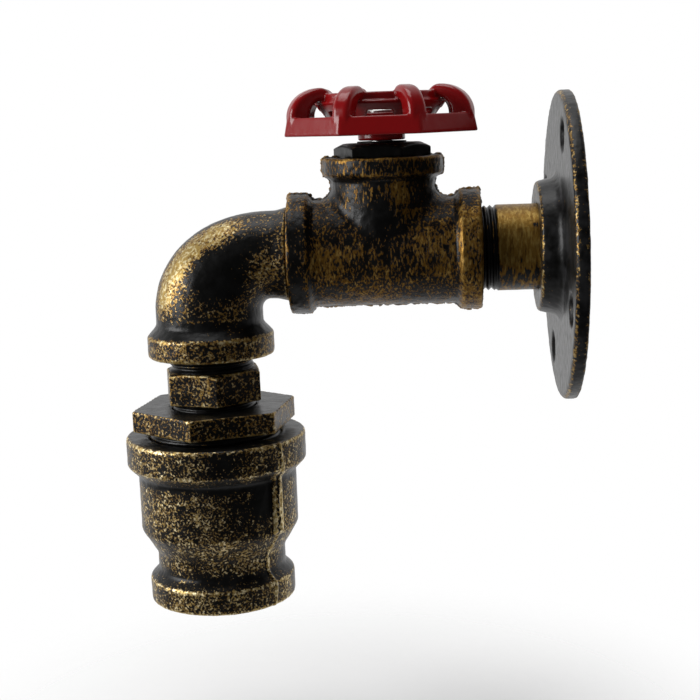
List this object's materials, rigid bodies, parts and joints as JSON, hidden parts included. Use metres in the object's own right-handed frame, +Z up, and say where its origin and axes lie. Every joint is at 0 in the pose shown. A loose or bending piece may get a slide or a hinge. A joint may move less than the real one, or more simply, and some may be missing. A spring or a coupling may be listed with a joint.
{
  "type": "wall light",
  "caption": "Wall light built from iron pipe fittings: round flange, tee with a turning red handwheel, elbow, and a bell reducer that holds a downward lampholder.",
  "frame": {"origin": "middle of the flange's back face, where it lies on the wall", "axes": "+X into the wall, +Z up, lamp hangs on the -X side and points down"},
  "size_m": [0.1424, 0.0952, 0.1607],
  "materials": {
    "antique_iron": "charcoal black with rubbed antique gold, satin",
    "antique_steel": "antique gold rubbed over black, satin",
    "black_iron": "glossy black",
    "wheel_red": "glossy deep red enamel",
    "zinc_steel": "zinc plated",
    "spring_steel": "plain",
    "porcelain": "white glazed",
    "brass_parts": "plain brass",
    "shell_metal": "bright",
    "lead_brown": "matt insulation",
    "lead_blue": "matt insulation",
    "lead_green": "matt insulation"
  },
  "bodies": {
    "fixture": {"wall_flange": "antique_iron", "wall_nipple": "antique_steel", "tee": "antique_iron", "bonnet_plug": "black_iron", "disc_spring": "spring_steel", "thrust_washer": "zinc_steel", "street_elbow": "antique_iron", "hex_nipple": "antique_steel", "hex_bushing": "antique_iron", "reducer": "antique_iron", "clamp_ring": "zinc_steel", "lampholder_body": "porcelain", "lampholder_shell": "shell_metal", "centre_contact": "brass_parts", "terminal_block_live": "brass_parts", "terminal_block_neutral": "brass_parts", "terminal_screws": "zinc_steel", "lead_live": "lead_brown", "lead_neutral": "lead_blue", "lead_earth": "lead_green", "earth_tag": "brass_parts", "earth_screw": "zinc_steel"},
    "wheel": {"spindle": "zinc_steel", "handwheel": "wheel_red", "handwheel_washer": "zinc_steel", "handwheel_screw": "zinc_steel"}
  },
  "joints": [
    {"name": "handwheel_turn", "type": "hinge", "parent": "fixture", "child": "wheel", "pos_m": [-0.05775, 0, 0], "axis": [0, 0, 1], "continuous": true}
  ]
}
